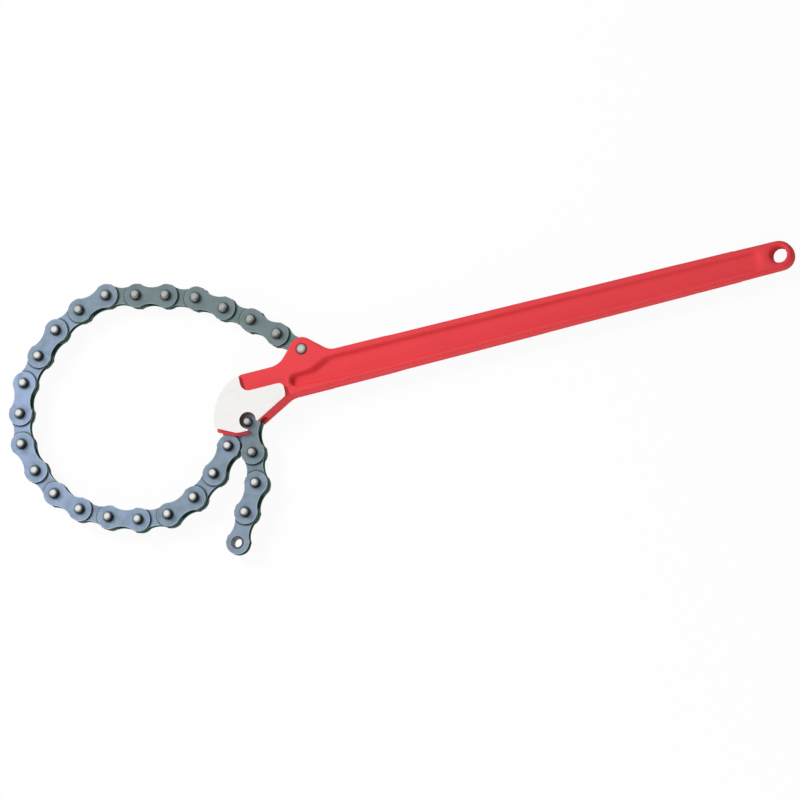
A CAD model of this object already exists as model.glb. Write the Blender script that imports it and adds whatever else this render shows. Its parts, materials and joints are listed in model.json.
import json
import math

import bmesh
import bpy
from mathutils import Matrix, Vector


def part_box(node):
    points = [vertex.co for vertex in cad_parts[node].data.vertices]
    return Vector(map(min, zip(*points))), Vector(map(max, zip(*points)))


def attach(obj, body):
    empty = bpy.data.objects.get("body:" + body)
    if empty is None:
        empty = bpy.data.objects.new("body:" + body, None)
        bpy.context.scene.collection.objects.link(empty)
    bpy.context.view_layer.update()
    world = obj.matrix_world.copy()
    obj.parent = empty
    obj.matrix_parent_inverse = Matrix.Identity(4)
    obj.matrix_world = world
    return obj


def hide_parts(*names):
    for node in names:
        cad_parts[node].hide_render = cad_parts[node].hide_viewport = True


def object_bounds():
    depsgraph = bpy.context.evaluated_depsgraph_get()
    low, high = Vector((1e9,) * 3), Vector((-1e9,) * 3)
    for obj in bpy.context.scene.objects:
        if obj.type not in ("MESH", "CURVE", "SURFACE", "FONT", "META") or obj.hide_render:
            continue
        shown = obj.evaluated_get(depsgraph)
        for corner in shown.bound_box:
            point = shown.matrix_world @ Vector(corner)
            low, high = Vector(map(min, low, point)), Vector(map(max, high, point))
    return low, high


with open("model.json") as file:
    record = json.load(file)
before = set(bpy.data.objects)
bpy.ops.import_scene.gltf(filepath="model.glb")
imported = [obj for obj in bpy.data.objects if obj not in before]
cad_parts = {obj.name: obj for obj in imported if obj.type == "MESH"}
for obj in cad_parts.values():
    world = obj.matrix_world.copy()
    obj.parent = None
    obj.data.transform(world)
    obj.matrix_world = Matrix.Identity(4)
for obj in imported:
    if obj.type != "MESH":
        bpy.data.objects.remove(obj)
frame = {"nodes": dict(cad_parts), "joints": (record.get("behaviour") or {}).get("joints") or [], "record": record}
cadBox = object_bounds()  # the box of the bare CAD part, before anything is added
mm = 0.001
smoothUnder = 32  # edges flatter than this are shaded smooth, degrees
firstPivot, secondPivot = (Vector(joint["pos_m"]) for joint in frame["joints"][:2])
halfPitch = (secondPivot - firstPivot).length / 2  # from the middle of a link to its pivots


# Small helpers

def toLinear(hexColour):
    channels = [int(hexColour[i:i + 2], 16) / 255 for i in (1, 3, 5)]
    return [c / 12.92 if c <= 0.04045 else ((c + 0.055) / 1.055) ** 2.4 for c in channels] + [1]


def perSize(sizeMm):
    return 1 / (sizeMm * mm)  # texture scale that gives features of this size


def addNode(tree, kind, settings, links=None):
    node = tree.nodes.new(kind)
    for name, value in settings.items():
        if isinstance(name, int) or name in node.inputs:
            node.inputs[name].default_value = value
        else:
            setattr(node, name, value)
    for name, source in (links or {}).items():
        tree.links.new(source, node.inputs[name])
    return node


def newMaterial(name):
    material = bpy.data.materials.new(name)
    material.use_nodes = True
    tree = material.node_tree
    return material, tree, tree.nodes["Principled BSDF"]


def pickOnly(piece):
    bpy.ops.object.select_all(action="DESELECT")
    piece.select_set(True)
    bpy.context.view_layer.objects.active = piece


def startPiece(name):
    piece = bpy.context.active_object
    piece.name = name
    bpy.ops.object.transform_apply(location=True, rotation=True, scale=True)
    return piece


def applyModifiers(piece):
    pickOnly(piece)
    for modifier in list(piece.modifiers):
        bpy.ops.object.modifier_apply(modifier=modifier.name)


def smoothOver(piece):
    pickOnly(piece)
    bpy.ops.object.shade_smooth_by_angle(angle=math.radians(smoothUnder))
    weigh = piece.modifiers.new("evenShading", "WEIGHTED_NORMAL")
    weigh.keep_sharp = True
    applyModifiers(piece)


def softenEdges(piece, width, steps, sharpFrom):
    soften = piece.modifiers.new("softEdges", "BEVEL")
    soften.width = width * mm
    soften.segments = steps
    soften.limit_method = "ANGLE"
    soften.angle_limit = math.radians(sharpFrom)
    applyModifiers(piece)


def cutHole(piece, place, radius, depth, sides):
    bpy.ops.object.select_all(action="DESELECT")
    bpy.ops.mesh.primitive_cylinder_add(vertices=sides, radius=radius, depth=depth, location=place)
    drill = bpy.context.active_object
    cut = piece.modifiers.new("drill", "BOOLEAN")
    cut.object = drill
    cut.solver = "EXACT"
    applyModifiers(piece)
    bpy.data.objects.remove(drill)


def joinPieces(pieces, name):
    bpy.ops.object.select_all(action="DESELECT")
    for piece in pieces:
        piece.select_set(True)
    bpy.context.view_layer.objects.active = pieces[0]
    bpy.ops.object.join()
    joined = bpy.context.active_object
    joined.name = name
    return joined


def copyOf(piece, name, place):
    twin = bpy.data.objects.new(name, piece.data.copy())
    bpy.context.scene.collection.objects.link(twin)
    twin.data.transform(place)
    return twin


cadCopy = {
    "merge": 0.001,  # corners closer than this become one, mm
    "flat": 0.2,  # faces that meet flatter than this become one, degrees
}


def mergedCopy(nodeName, name):
    source = frame["nodes"][nodeName]
    piece = bpy.data.objects.new(name, source.data.copy())
    bpy.context.scene.collection.objects.link(piece)
    piece.data.materials.clear()
    pickOnly(piece)
    bpy.ops.mesh.customdata_custom_splitnormals_clear()
    bpy.ops.object.mode_set(mode="EDIT")
    bpy.ops.mesh.select_all(action="SELECT")
    bpy.ops.mesh.remove_doubles(threshold=cadCopy["merge"] * mm)
    bpy.ops.mesh.dissolve_limited(angle_limit=math.radians(cadCopy["flat"]))
    bpy.ops.object.mode_set(mode="OBJECT")
    return piece


def finishPiece(piece, body, nodeName, material):
    piece.data.materials.clear()
    piece.data.materials.append(material)
    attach(piece, body)
    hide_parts(nodeName)


# Camera at the photograph's angle: almost straight down, leaning over the lower right

cameraSettings = {
    "roll": -13.0,  # turn of the picture against the handle, degrees
    "lean": 16.0,  # from straight down, degrees
    "leanAxis": (0.558, 0.83, 0),  # right and up in the picture
    "farthest": 50,  # how far the camera sees, metres
    "lens": 500,  # a long lens, as the photograph shows hardly any perspective
    "frameWidth": 486.2,  # what the picture spans at the hanging hole, mm
    "holePixel": (780.3, 255.7),  # where the hanging hole lies in the picture
    "pictureSize": 800,
}


def addCamera(s):
    lens = bpy.data.cameras.new("photoCamera")
    lens.lens = s["lens"]
    lens.clip_end = s["farthest"]
    camera = bpy.data.objects.new("photoCamera", lens)
    bpy.context.scene.collection.objects.link(camera)
    turn = Matrix.Rotation(math.radians(s["roll"]), 4, "Z")
    turn = turn @ Matrix.Rotation(math.radians(s["lean"]), 4, Vector(s["leanAxis"]))
    right, up, back = (turn.to_3x3().col[i] for i in range(3))
    width = s["frameWidth"] * mm
    perPixel = width / s["pictureSize"]
    acrossBy = (s["holePixel"][0] - s["pictureSize"] / 2) * perPixel
    upBy = (s["pictureSize"] / 2 - s["holePixel"][1]) * perPixel
    aim = -right * acrossBy - up * upBy
    distance = width * lens.lens / lens.sensor_width
    camera.matrix_world = Matrix.Translation(aim + back * distance) @ turn
    bpy.context.scene.camera = camera
    return right, up


pictureRight, pictureUp = addCamera(cameraSettings)
print("camera in place")


# Floor, world and lamps

studio = {
    "floorSize": 8,  # metres
    "floorColour": "#F4F4F3",
    "floorRoughness": 0.9,
    "floorWhite": 0.94,  # share of plain white that the camera sees in the floor
    "worldColour": "#FFFFFF",
    "worldStrength": 0.34,
    "brightSide": {"flat": 0.6, "up": 0.8},  # where the room that metal sees is brightest
    "sweep": (-0.4, 0.7),  # facing that side, from where the room is dim to where it is full
    "farSide": 0.3,  # what metal sees low down, away from the key lamp
    "key": {"power": 11, "size": 0.45, "left": 0.72, "up": 0.36, "height": 0.92},  # watts and metres
    "fill": {"power": 4, "size": 0.8, "left": -0.1, "up": -0.9, "height": 0.42},
}


def addFloor(s):
    bpy.ops.object.select_all(action="DESELECT")
    bpy.ops.mesh.primitive_plane_add(size=s["floorSize"], location=(0, 0, cadBox[0].z))
    floor = bpy.context.active_object
    floor.name = "floor"
    material, tree, shader = newMaterial("matt white paper sweep")
    shader.inputs["Base Color"].default_value = toLinear(s["floorColour"])
    shader.inputs["Roughness"].default_value = s["floorRoughness"]
    path = addNode(tree, "ShaderNodeLightPath", {})
    straight = addNode(tree, "ShaderNodeMath", {"operation": "MAXIMUM"}, {
        0: path.outputs["Is Camera Ray"], 1: path.outputs["Is Transmission Ray"]})
    seen = addNode(tree, "ShaderNodeMath", {"operation": "MAXIMUM"}, {
        0: straight.outputs[0], 1: path.outputs["Is Glossy Ray"]})
    share = addNode(tree, "ShaderNodeMath", {"operation": "MULTIPLY", 1: s["floorWhite"]}, {
        0: seen.outputs[0]})
    white = addNode(tree, "ShaderNodeEmission", {"Color": (1, 1, 1, 1), "Strength": 1})
    mixed = addNode(tree, "ShaderNodeMixShader", {}, {
        0: share.outputs[0], 1: shader.outputs[0], 2: white.outputs[0]})
    tree.links.new(mixed.outputs[0], tree.nodes["Material Output"].inputs["Surface"])
    floor.data.materials.append(material)


def addLamp(name, s, flatLeft, flatUp):
    lamp = bpy.data.lights.new(name, "AREA")
    lamp.energy = s["power"]
    lamp.size = s["size"]
    holder = bpy.data.objects.new(name, lamp)
    bpy.context.scene.collection.objects.link(holder)
    place = flatLeft * s["left"] + flatUp * s["up"] + Vector((0, 0, s["height"]))
    holder.location = (cadBox[0] + cadBox[1]) / 2 + place
    holder.rotation_mode = "QUATERNION"
    holder.rotation_quaternion = place.to_track_quat("Z", "Y")
    holder.visible_glossy = False  # metal shows the pale room, not the lamps on top of it


def addStudio(s):
    addFloor(s)
    world = bpy.data.worlds.new("soft studio")
    world.use_nodes = True
    tree = world.node_tree
    dim = tree.nodes["Background"]
    dim.inputs["Color"].default_value = toLinear(s["worldColour"])
    dim.inputs["Strength"].default_value = s["worldStrength"]
    flatLeft = Vector((-pictureRight.x, -pictureRight.y, 0)).normalized()
    flatUp = Vector((pictureUp.x, pictureUp.y, 0)).normalized()
    upperLeft = (flatLeft + flatUp).normalized()
    towardsKey = upperLeft * s["brightSide"]["flat"] + Vector((0, 0, s["brightSide"]["up"]))
    path = addNode(tree, "ShaderNodeLightPath", {})
    direction = addNode(tree, "ShaderNodeTexCoord", {}).outputs["Generated"]
    facing = addNode(tree, "ShaderNodeVectorMath", {
        "operation": "DOT_PRODUCT", 1: towardsKey.normalized()}, {0: direction})
    sweep = addNode(tree, "ShaderNodeMapRange", {
        "From Min": s["sweep"][0], "From Max": s["sweep"][1], "To Min": s["farSide"], "To Max": 1}, {
        "Value": facing.outputs["Value"]})
    room = addNode(tree, "ShaderNodeBackground", {"Color": (1, 1, 1, 1)}, {"Strength": sweep.outputs[0]})
    white = addNode(tree, "ShaderNodeBackground", {"Color": (1, 1, 1, 1), "Strength": 1})
    mirrored = addNode(tree, "ShaderNodeMixShader", {}, {
        0: path.outputs["Is Glossy Ray"], 1: dim.outputs[0], 2: room.outputs[0]})
    straight = addNode(tree, "ShaderNodeMath", {"operation": "MAXIMUM"}, {
        0: path.outputs["Is Camera Ray"], 1: path.outputs["Is Transmission Ray"]})
    mixed = addNode(tree, "ShaderNodeMixShader", {}, {
        0: straight.outputs[0], 1: mirrored.outputs[0], 2: white.outputs[0]})
    tree.links.new(mixed.outputs[0], tree.nodes["World Output"].inputs["Surface"])
    bpy.context.scene.world = world
    addLamp("key softbox", s["key"], flatLeft, flatUp)
    addLamp("fill softbox", s["fill"], flatLeft, flatUp)


addStudio(studio)
bpy.context.scene.view_settings.view_transform = "Standard"
print("studio in place")


# Materials

enamelLook = {
    "red": "#E84B50",
    "deepRed": "#E0464C",
    "patch": 45,  # drifts of shade in the sprayed coat, mm
    "peel": 1.3,  # orange peel, mm
    "peelHeight": 0.02,
    "forging": 7,  # hammered unevenness under the paint, mm
    "forgingHeight": 0.16,
    "roughness": (0.46, 0.58),
    "ior": 1.05,  # a lean, chalky coat with little shine at its edges
}


def makeEnamel(s):
    # Red enamel sprayed over a rough forging: satin gloss that breaks up over a wavy skin
    material, tree, shader = newMaterial("red enamel over forged steel")
    shader.inputs["IOR"].default_value = s["ior"]
    place = addNode(tree, "ShaderNodeTexCoord", {}).outputs["Object"]
    drift = addNode(tree, "ShaderNodeTexNoise", {"Scale": perSize(s["patch"]), "Detail": 4}, {
        "Vector": place})
    colour = addNode(tree, "ShaderNodeMix", {
        "data_type": "RGBA", 6: toLinear(s["red"]), 7: toLinear(s["deepRed"])}, {0: drift.outputs["Fac"]})
    gloss = addNode(tree, "ShaderNodeMapRange", {
        "To Min": s["roughness"][0], "To Max": s["roughness"][1]}, {"Value": drift.outputs["Fac"]})
    waves = addNode(tree, "ShaderNodeTexNoise", {"Scale": perSize(s["forging"]), "Detail": 3}, {
        "Vector": place})
    peel = addNode(tree, "ShaderNodeTexNoise", {"Scale": perSize(s["peel"]), "Detail": 1}, {
        "Vector": place})
    skin = addNode(tree, "ShaderNodeBump", {"Distance": s["forgingHeight"] * mm}, {
        "Height": waves.outputs["Fac"]})
    coat = addNode(tree, "ShaderNodeBump", {"Distance": s["peelHeight"] * mm}, {
        "Height": peel.outputs["Fac"], "Normal": skin.outputs["Normal"]})
    tree.links.new(colour.outputs[2], shader.inputs["Base Color"])
    tree.links.new(gloss.outputs[0], shader.inputs["Roughness"])
    tree.links.new(coat.outputs["Normal"], shader.inputs["Normal"])
    return material


groundLook = {
    "bright": "#FCFBF9",
    "dull": "#F0EFEC",
    "line": 0.5,  # grinding lines, drawn coarser than real grit so that they show, mm
    "lineLength": 14,
    "lineHeight": 0.012,
    "lineTurn": 28,  # degrees
    "roughness": (0.26, 0.44),
}


def makeGroundSteel(s):
    # Hardened steel, surface ground: bright, with fine straight lines that spread the highlight
    material, tree, shader = newMaterial("surface ground tool steel")
    shader.inputs["Metallic"].default_value = 1
    place = addNode(tree, "ShaderNodeTexCoord", {}).outputs["Object"]
    turned = addNode(tree, "ShaderNodeMapping", {
        "Rotation": (0, 0, math.radians(s["lineTurn"])),
        "Scale": (perSize(s["lineLength"]), perSize(s["line"]), perSize(s["lineLength"]))}, {
        "Vector": place})
    lines = addNode(tree, "ShaderNodeTexNoise", {"Scale": 1, "Detail": 4}, {"Vector": turned.outputs[0]})
    colour = addNode(tree, "ShaderNodeMix", {
        "data_type": "RGBA", 6: toLinear(s["dull"]), 7: toLinear(s["bright"])}, {0: lines.outputs["Fac"]})
    gloss = addNode(tree, "ShaderNodeMapRange", {
        "To Min": s["roughness"][1], "To Max": s["roughness"][0]}, {"Value": lines.outputs["Fac"]})
    grain = addNode(tree, "ShaderNodeBump", {"Distance": s["lineHeight"] * mm}, {
        "Height": lines.outputs["Fac"]})
    tree.links.new(colour.outputs[2], shader.inputs["Base Color"])
    tree.links.new(gloss.outputs[0], shader.inputs["Roughness"])
    tree.links.new(grain.outputs["Normal"], shader.inputs["Normal"])
    return material


bluedLook = {
    "blue": "#9EB3D5",
    "grey": "#748486",
    "worn": "#E4EAF2",
    "dark": "#7E8DA9",
    "greyDark": "#68797C",
    "scale": "#25534E",  # green-black scale left on the sheared edges
    "oil": "#1B3A39",
    "mottle": 6,  # cloudy patches of the heat tint, mm
    "cloudRange": (0.42, 0.75),  # from where in the pattern a cloud starts to where it is full
    "cloudDepth": 0.75,  # share of the darker colour in a full cloud
    "pitting": 0.6,  # tumbled skin, mm
    "pitHeight": 0.03,
    "wear": (0.6, 1),  # how far the tumbled rims are rubbed bare, least and most
    "wearRange": (0.35, 0.65),  # from where in the pitting that starts to where it is full
    "greyWear": 0.35,  # share of that on the grey links
    "corner": 1.5,  # how far oil spreads out of the corner round a pin or an outer plate, mm
    "metallic": 0.45,  # the oxide skin hides much of the metal
    "roughness": (0.36, 0.56),
}


def makeBluedSteel(s):
    # Stamped plates, hardened and tumbled: a cloudy blue-grey skin, rubbed bright round the
    # rims, with dark scale on the sheared edges and oil in the corners round what lies on them
    material, tree, shader = newMaterial("blued and tumbled plate steel")
    shader.inputs["Metallic"].default_value = s["metallic"]
    place = addNode(tree, "ShaderNodeTexCoord", {}).outputs["Object"]
    tint = addNode(tree, "ShaderNodeAttribute", {"attribute_name": "heatTint"})
    rim = addNode(tree, "ShaderNodeAttribute", {"attribute_name": "rubbedRim"})
    shear = addNode(tree, "ShaderNodeAttribute", {"attribute_name": "shearedEdge"})
    cloud = addNode(tree, "ShaderNodeTexNoise", {"Scale": perSize(s["mottle"]), "Detail": 5}, {
        "Vector": place})
    pits = addNode(tree, "ShaderNodeTexNoise", {"Scale": perSize(s["pitting"]), "Detail": 2}, {
        "Vector": place})
    onPlate = addNode(tree, "ShaderNodeUVMap", {"uv_map": "plateMap"})
    covered = addNode(tree, "ShaderNodeAttribute", {"attribute_name": "coveredRadius"})
    folded = addNode(tree, "ShaderNodeVectorMath", {"operation": "ABSOLUTE"}, {0: onPlate.outputs[0]})
    fromPivot = addNode(tree, "ShaderNodeVectorMath", {
        "operation": "DISTANCE", 1: (halfPitch / mm, 0, 0)}, {0: folded.outputs[0]})
    beyond = addNode(tree, "ShaderNodeMath", {"operation": "SUBTRACT"}, {
        0: fromPivot.outputs["Value"], 1: covered.outputs["Fac"]})
    corner = addNode(tree, "ShaderNodeMapRange", {
        "From Min": 0, "From Max": s["corner"], "To Min": 1, "To Max": 0}, {"Value": beyond.outputs[0]})
    base = addNode(tree, "ShaderNodeMix", {
        "data_type": "RGBA", 6: toLinear(s["blue"]), 7: toLinear(s["grey"])}, {0: tint.outputs["Fac"]})
    depth = addNode(tree, "ShaderNodeMapRange", {
        "From Min": s["cloudRange"][0], "From Max": s["cloudRange"][1],
        "To Min": 0, "To Max": s["cloudDepth"]}, {"Value": cloud.outputs["Fac"]})
    shade = addNode(tree, "ShaderNodeMix", {
        "data_type": "RGBA", 6: toLinear(s["dark"]), 7: toLinear(s["greyDark"])}, {0: tint.outputs["Fac"]})
    clouded = addNode(tree, "ShaderNodeMix", {"data_type": "RGBA"}, {
        0: depth.outputs[0], 6: base.outputs[2], 7: shade.outputs[2]})
    wear = addNode(tree, "ShaderNodeMapRange", {
        "From Min": s["wearRange"][0], "From Max": s["wearRange"][1],
        "To Min": s["wear"][0], "To Max": s["wear"][1]}, {"Value": pits.outputs["Fac"]})
    spared = addNode(tree, "ShaderNodeMapRange", {"To Min": 1, "To Max": s["greyWear"]}, {
        "Value": tint.outputs["Fac"]})
    bared = addNode(tree, "ShaderNodeMath", {"operation": "MULTIPLY"}, {
        0: wear.outputs[0], 1: spared.outputs[0]})
    rubbed = addNode(tree, "ShaderNodeMath", {"operation": "MULTIPLY"}, {
        0: rim.outputs["Fac"], 1: bared.outputs[0]})
    bright = addNode(tree, "ShaderNodeMix", {"data_type": "RGBA", 7: toLinear(s["worn"])}, {
        0: rubbed.outputs[0], 6: clouded.outputs[2]})
    oily = addNode(tree, "ShaderNodeMix", {"data_type": "RGBA", 7: toLinear(s["oil"])}, {
        0: corner.outputs[0], 6: bright.outputs[2]})
    colour = addNode(tree, "ShaderNodeMix", {"data_type": "RGBA", 7: toLinear(s["scale"])}, {
        0: shear.outputs["Fac"], 6: oily.outputs[2]})
    gloss = addNode(tree, "ShaderNodeMapRange", {
        "To Min": s["roughness"][0], "To Max": s["roughness"][1]}, {"Value": cloud.outputs["Fac"]})
    skin = addNode(tree, "ShaderNodeBump", {"Distance": s["pitHeight"] * mm}, {
        "Height": pits.outputs["Fac"]})
    tree.links.new(colour.outputs[2], shader.inputs["Base Color"])
    tree.links.new(gloss.outputs[0], shader.inputs["Roughness"])
    tree.links.new(skin.outputs["Normal"], shader.inputs["Normal"])
    return material


# spot is the size of the smudges in mm, and roughness runs from least to most
turnedLooks = {
    "centreless ground pin steel": {
        "bright": "#FAF9F6", "dull": "#E8E8E4", "side": "#343A39", "spot": 1.1, "roughness": (0.24, 0.4)},
    "rolled bush steel": {
        "bright": "#6E747B", "dull": "#4C5257", "side": "#2B3233", "spot": 1.6, "roughness": (0.34, 0.5)},
    "peened rivet steel": {
        "bright": "#E6E4DC", "dull": "#C0BEB6", "side": "#4A4840", "spot": 1.4, "roughness": (0.3, 0.46)},
}


def makeTurnedSteel(name, s):
    # Round steel: bright where an end is ground or peened, dark with oil along the sides, with
    # small smudges of handling in the gloss
    material, tree, shader = newMaterial(name)
    shader.inputs["Metallic"].default_value = 1
    place = addNode(tree, "ShaderNodeTexCoord", {}).outputs["Object"]
    ends = addNode(tree, "ShaderNodeAttribute", {"attribute_name": "workedEnd"})
    smudge = addNode(tree, "ShaderNodeTexNoise", {"Scale": perSize(s["spot"]), "Detail": 4}, {
        "Vector": place})
    worked = addNode(tree, "ShaderNodeMix", {
        "data_type": "RGBA", 6: toLinear(s["bright"]), 7: toLinear(s["dull"])}, {0: smudge.outputs["Fac"]})
    colour = addNode(tree, "ShaderNodeMix", {"data_type": "RGBA", 6: toLinear(s["side"])}, {
        0: ends.outputs["Fac"], 7: worked.outputs[2]})
    gloss = addNode(tree, "ShaderNodeMapRange", {
        "To Min": s["roughness"][0], "To Max": s["roughness"][1]}, {"Value": smudge.outputs["Fac"]})
    tree.links.new(colour.outputs[2], shader.inputs["Base Color"])
    tree.links.new(gloss.outputs[0], shader.inputs["Roughness"])
    return material


enamel = makeEnamel(enamelLook)
groundSteel = makeGroundSteel(groundLook)
bluedSteel = makeBluedSteel(bluedLook)
pinSteel, bushSteel, rivetSteel = [makeTurnedSteel(name, look) for name, look in turnedLooks.items()]
print("materials made")


# Handle: a forged beam with a forked head

handleLook = {
    "skin": 0.66,  # size of the even faces laid over the shape, mm
    "smoothing": 0.5,  # strength of each smoothing pass
    "rounds": 10,  # smoothing passes that round the edges
    "beamRounds": 20,  # further passes along the beam
    "pocketRounds": 40,  # further passes where the web runs out into the ribs
    "crisp": 4.4,  # what stays crisp round the anchor rivet, mm
    "ear": 10.5,  # radius of the thin ear, mm
    "beamStart": 12,  # from the anchor towards the hanging hole, mm
    "pocketStart": -12,
    "pocketHeight": 9,  # half height within which the pocket lies, mm
}


def makeHandle(s):
    # A forging has no sharp edges: an even skin is laid over the shape and then smoothed
    handle = mergedCopy("handle", "handleForging")
    skin = handle.modifiers.new("evenSkin", "REMESH")
    skin.mode = "VOXEL"
    skin.voxel_size = s["skin"] * mm
    applyModifiers(handle)
    places = [v.co - firstPivot for v in handle.data.vertices]  # from the anchor rivet
    regions = {
        "rounds": [i for i, p in enumerate(places) if p.xy.length > s["crisp"] * mm],
        "beamRounds": [i for i, p in enumerate(places) if p.x > s["beamStart"] * mm],
        "pocketRounds": [i for i, p in enumerate(places) if p.x > s["pocketStart"] * mm
                         and p.xy.length > s["ear"] * mm
                         and abs(p.y + firstPivot.y) < s["pocketHeight"] * mm],
    }
    for region, members in regions.items():
        handle.vertex_groups.new(name=region).add(members, 1, "REPLACE")
        soften = handle.modifiers.new("forgedEdges", "SMOOTH")
        soften.factor = s["smoothing"]
        soften.iterations = s[region]
        soften.vertex_group = region
        applyModifiers(handle)
    handle.vertex_groups.clear()
    pickOnly(handle)
    bpy.ops.object.shade_smooth()
    finishPiece(handle, "handle", "handle", enamel)


makeHandle(handleLook)
print("handle made")


# Jaw plates and rivets

jawLook = {
    "edge": 0.16,  # rounding of the ground edges, mm
    "steps": 2,
    "sharpFrom": 30,  # edges sharper than this are rounded, degrees
}


def makeJawPlate(nodeName, name, s):
    plate = mergedCopy(nodeName, name)
    softenEdges(plate, s["edge"], s["steps"], s["sharpFrom"])
    smoothOver(plate)
    finishPiece(plate, "handle", nodeName, groundSteel)


rivetLook = {
    "jawEdge": 0.1,  # rounding of the flush rivets, mm
    "anchorEdge": 0.2,
    "steps": 2,
    "sharpFrom": 40,
    "bright": (0.7, 0.97),  # from where a face turned to the axis is bright to where it is fully so
}


def markEnds(piece, darkBelow, brightFrom):
    # Faces that look along the axis are worked bright, and the sides stay dark
    ends = piece.data.attributes.new("workedEnd", "FLOAT", "FACE")
    for i, face in enumerate(piece.data.polygons):
        share = (abs(face.normal.z) - darkBelow) / (brightFrom - darkBelow)
        ends.data[i].value = min(max(share, 0), 1)


def makeRivets(nodeName, name, material, edge, s):
    rivets = mergedCopy(nodeName, name)
    softenEdges(rivets, edge, s["steps"], s["sharpFrom"])
    markEnds(rivets, *s["bright"])
    smoothOver(rivets)
    finishPiece(rivets, "handle", nodeName, material)


makeJawPlate("jaw_plate_front", "jawPlateFront", jawLook)
makeJawPlate("jaw_plate_rear", "jawPlateRear", jawLook)
makeRivets("jaw_rivets", "jawRivets", groundSteel, rivetLook["jawEdge"], rivetLook)
makeRivets("anchor_rivet", "anchorRivet", rivetSteel, rivetLook["anchorEdge"], rivetLook)
print("jaw plates and rivets made")


# Chain

chainLook = {
    "links": 27,
    "roundEnd": 7.3,  # radius of the plates' ends, mm
    "waist": 5.1,  # half height at the waist
    "endSides": 56,
    "waistCuts": 11,
    "holeSides": 48,
    "edge": 0.4,  # rounding left by punching and tumbling
    "edgeSteps": 2,
    "sharpFrom": 40,  # edges sharper than this are rounded, degrees
    "rimBand": (0.05, 0.9),  # between these shares of its depth the rounding is rubbed bright
    "scaleBelow": 0.2,  # faces that look up less than this keep their scale
    "thick": 1.75,  # plates
    "pin": 2.75,  # radius
    "pinDome": 2.2,  # rounding of the pin ends
    "domeSteps": 8,
    "pinBright": (0.45, 0.95),  # from where a face turned to the axis is bright to where it is fully so
    "bush": 4,  # radius
    "bushBright": (0.2, 0.8),
    "roundSides": 40,  # of pins and bushes
    "seat": 0.02,  # gap at the pressed seats
    "bushWall": 1.18,
    "bushEdge": 0.2,
    # heat tint from a link onwards, 0 blue to 1 grey
    "tints": {1: 1, 8: 0.65, 9: 0.45, 11: 0.1, 14: 0.25, 17: 0.4, 20: 0.6, 24: 0.85, 26: 0.6},
    "bareEnds": {1: -1, 24: -1, 27: 1},  # ends that nothing lies on: -1 a link's first end, 1 its second
    # how bright the pins are from a link onwards, along their sides and at their ends
    "shine": {2: (0.36, 0.48), 6: (0.26, 0.54), 8: (0.08, 0.7), 10: (0, 0.95),
              24: (0.1, 0.62), 26: (0.05, 0.9)},
}


def pivotsOf(links):
    places = [Vector(joint["pos_m"]) for joint in frame["joints"][:links]]
    end = next(m for m in frame["record"]["mounts"] if m["name"] == "chain_end")
    places.append(Vector((end["pos_m"][0], end["pos_m"][1], 0)))
    return places


def markRim(plate, low, high, s):
    # The middle of each rounded edge is rubbed bright
    rim = plate.data.attributes.new("rubbedRim", "FLOAT", "POINT")
    first, last = (share * s["edge"] * mm for share in s["rimBand"])
    for i, v in enumerate(plate.data.vertices):
        depth = min(v.co.z - low, high - v.co.z)
        rim.data[i].value = 1 if first < depth < last else 0
    # Sheared edges and the sides that face into the chain keep their dark scale
    shear = plate.data.attributes.new("shearedEdge", "FLOAT", "FACE")
    for i, face in enumerate(plate.data.polygons):
        shear.data[i].value = 1 if face.normal.z < s["scaleBelow"] else 0


def makePlate(name, half, holeRadius, low, high, s):
    # Start from a round outline, pull it into a long oval, pinch its waist and give it its thickness
    r, waist = s["roundEnd"] * mm, s["waist"] * mm
    scoopRadius = (half ** 2 + waist ** 2 - r ** 2) / (2 * (r - waist))
    scoopHeight = waist + scoopRadius
    touch = half - r * half / math.hypot(half, scoopHeight)
    bpy.ops.object.select_all(action="DESELECT")
    bpy.ops.mesh.primitive_circle_add(vertices=s["endSides"], radius=r, fill_type="NOTHING")
    plate = startPiece(name)
    for v in plate.data.vertices:
        v.co.x += half if v.co.x > 0 else -half
        v.co.z = low
    longEdges = [e for e in plate.data.edges
                 if plate.data.vertices[e.vertices[0]].co.x * plate.data.vertices[e.vertices[1]].co.x < 0]
    for v in plate.data.vertices:
        v.select = False
    for e in plate.data.edges:
        e.select = e in longEdges
    bpy.ops.object.mode_set(mode="EDIT")
    bpy.ops.mesh.subdivide(number_cuts=s["waistCuts"])
    bpy.ops.object.mode_set(mode="OBJECT")
    for v in plate.data.vertices:
        if abs(v.co.x) < touch:
            v.co.y = math.copysign(scoopHeight - math.sqrt(scoopRadius ** 2 - v.co.x ** 2), v.co.y)
    bpy.ops.object.mode_set(mode="EDIT")
    bpy.ops.mesh.select_all(action="SELECT")
    bpy.ops.mesh.edge_face_add()
    bpy.ops.mesh.extrude_region_move(TRANSFORM_OT_translate={"value": (0, 0, high - low)})
    bpy.ops.mesh.select_all(action="SELECT")
    bpy.ops.mesh.normals_make_consistent(inside=False)
    bpy.ops.object.mode_set(mode="OBJECT")
    for side in (-1, 1):  # the drill reaches well past both faces
        cutHole(plate, (side * half, 0, (low + high) / 2), holeRadius, 4 * (high - low), s["holeSides"])
    softenEdges(plate, s["edge"], s["edgeSteps"], s["sharpFrom"])
    markRim(plate, low, high, s)
    smoothOver(plate)
    return plate


def mapPlate(plate, covered):
    # Lays each plate out in millimetres from its middle, and notes how far its ends are covered
    layout = plate.data.uv_layers.active or plate.data.uv_layers.new()
    layout.name = "plateMap"
    for i, loop in enumerate(plate.data.loops):
        layout.data[i].uv = plate.data.vertices[loop.vertex_index].co.xy / mm
    radius = plate.data.attributes.new("coveredRadius", "FLOAT", "POINT")
    radius.data.foreach_set("value", [covered] * len(plate.data.vertices))


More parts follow.
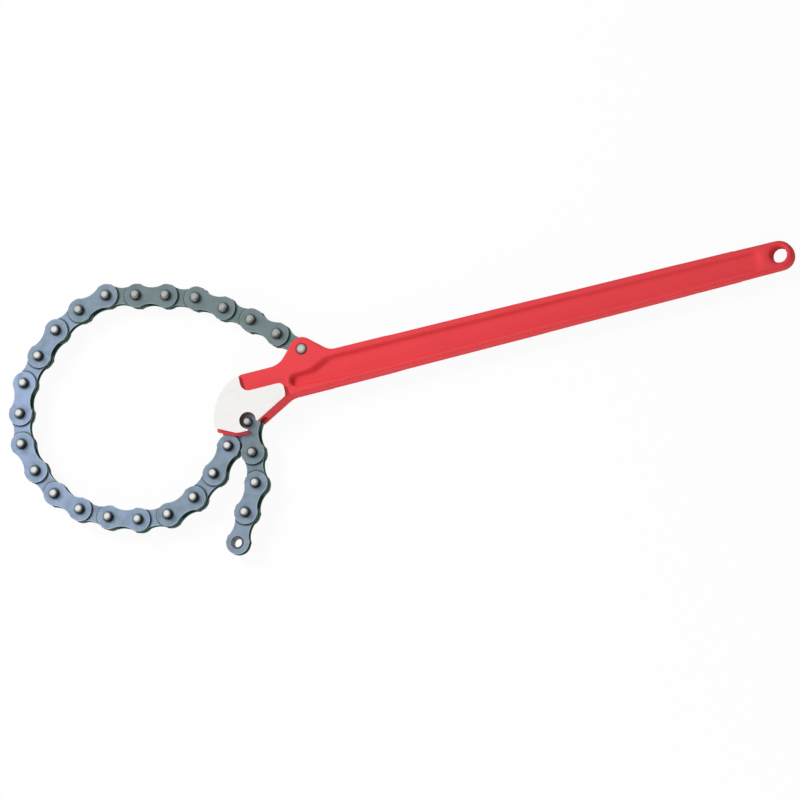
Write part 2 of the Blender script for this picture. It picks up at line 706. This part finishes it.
def uncoverEnd(plate, shift):
    # Moves the layout along, so that the bare end is far from both pivots in it
    for corner in plate.data.uv_layers["plateMap"].data:
        corner.uv.x += shift


def makePlatePair(name, half, holeRadius, low, high, covered, s):
    front = makePlate(name, half, holeRadius, low, high, s)
    mapPlate(front, covered)
    rear = copyOf(front, name + "Rear", Matrix.Rotation(math.pi, 4, "X"))
    return joinPieces([front, rear], name)


def selectEnds(piece):
    bpy.ops.mesh.select_mode(type="FACE")
    bpy.ops.mesh.select_all(action="DESELECT")
    mesh = bmesh.from_edit_mesh(piece.data)
    for face in mesh.faces:
        face.select_set(abs(face.normal.z) > 0.99)  # the two flat ends of a cylinder
    bmesh.update_edit_mesh(piece.data)


def makePin(name, radius, top, s):
    bpy.ops.object.select_all(action="DESELECT")
    bpy.ops.mesh.primitive_cylinder_add(vertices=s["roundSides"], radius=radius, depth=2 * top)
    pin = startPiece(name)
    bpy.ops.object.mode_set(mode="EDIT")
    selectEnds(pin)
    bpy.ops.mesh.bevel(offset=s["pinDome"] * mm, segments=s["domeSteps"], affect="EDGES")
    bpy.ops.object.mode_set(mode="OBJECT")
    markEnds(pin, *s["pinBright"])
    smoothOver(pin)
    return pin


def makeBush(name, radius, top, s):
    bpy.ops.object.select_all(action="DESELECT")
    bpy.ops.mesh.primitive_cylinder_add(vertices=s["roundSides"], radius=radius, depth=2 * top)
    bush = startPiece(name)
    bpy.ops.object.mode_set(mode="EDIT")
    selectEnds(bush)
    bpy.ops.mesh.inset(thickness=s["bushWall"] * mm, use_individual=True)
    bpy.ops.mesh.bridge_edge_loops()
    bpy.ops.mesh.select_all(action="SELECT")
    bpy.ops.mesh.normals_make_consistent(inside=False)
    bpy.ops.object.mode_set(mode="OBJECT")
    softenEdges(bush, s["bushEdge"], s["edgeSteps"], s["sharpFrom"])
    markEnds(bush, *s["bushBright"])
    smoothOver(bush)
    return bush


def makePair(piece, half, name):
    twin = copyOf(piece, name + "Twin", Matrix.Translation((half, 0, 0)))
    piece.data.transform(Matrix.Translation((-half, 0, 0)))
    return joinPieces([piece, twin], name)


def fromLinkOn(table, k):
    return table[max(first for first in table if first <= k)]


def tintPlates(piece, value):
    tint = piece.data.attributes.new("heatTint", "FLOAT", "POINT")
    tint.data.foreach_set("value", [value] * len(piece.data.vertices))


def dullPins(piece, side, end):
    for face in piece.data.attributes["workedEnd"].data:
        face.value = side + (end - side) * face.value


def makeChain(s):
    pivots = pivotsOf(s["links"])
    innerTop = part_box("link_01_plates")[1].z
    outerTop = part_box("link_02_plates")[1].z
    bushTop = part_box("link_01_bushes")[1].z
    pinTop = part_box("link_02_pins")[1].z
    thick, pinRadius, bushRadius, seat = (s[part] * mm for part in ("thick", "pin", "bush", "seat"))
    innerPair = makePlatePair(
        "innerPlates", halfPitch, bushRadius + seat, innerTop - thick, innerTop, s["roundEnd"], s)
    outerPair = makePlatePair(
        "outerPlates", halfPitch, pinRadius + seat, outerTop - thick, outerTop, s["pin"], s)
    pinPair = makePair(makePin("pin", pinRadius, pinTop, s), halfPitch, "pinPair")
    bushPair = makePair(makeBush("bush", bushRadius, bushTop, s), halfPitch, "bushPair")
    for k in range(1, s["links"] + 1):
        start, end = pivots[k - 1], pivots[k]
        heading = math.atan2(end.y - start.y, end.x - start.x)
        place = Matrix.Translation((start + end) / 2) @ Matrix.Rotation(heading, 4, "Z")
        outer = k % 2 == 0
        plates = copyOf(outerPair if outer else innerPair, f"linkPlates{k:02d}", place)
        tintPlates(plates, fromLinkOn(s["tints"], k))
        if k in s["bareEnds"]:
            uncoverEnd(plates, s["bareEnds"][k] * 2 * halfPitch / mm)
        body = f"link_{k:02d}"
        finishPiece(plates, body, body + "_plates", bluedSteel)
        if outer:
            pins = copyOf(pinPair, f"linkPins{k:02d}", place)
            dullPins(pins, *fromLinkOn(s["shine"], k))
            finishPiece(pins, body, body + "_pins", pinSteel)
        else:
            bushes = copyOf(bushPair, f"linkBushes{k:02d}", place)
            finishPiece(bushes, body, body + "_bushes", bushSteel)
    for master in (innerPair, outerPair, pinPair, bushPair):
        bpy.data.objects.remove(master)


makeChain(chainLook)
print("chain made")
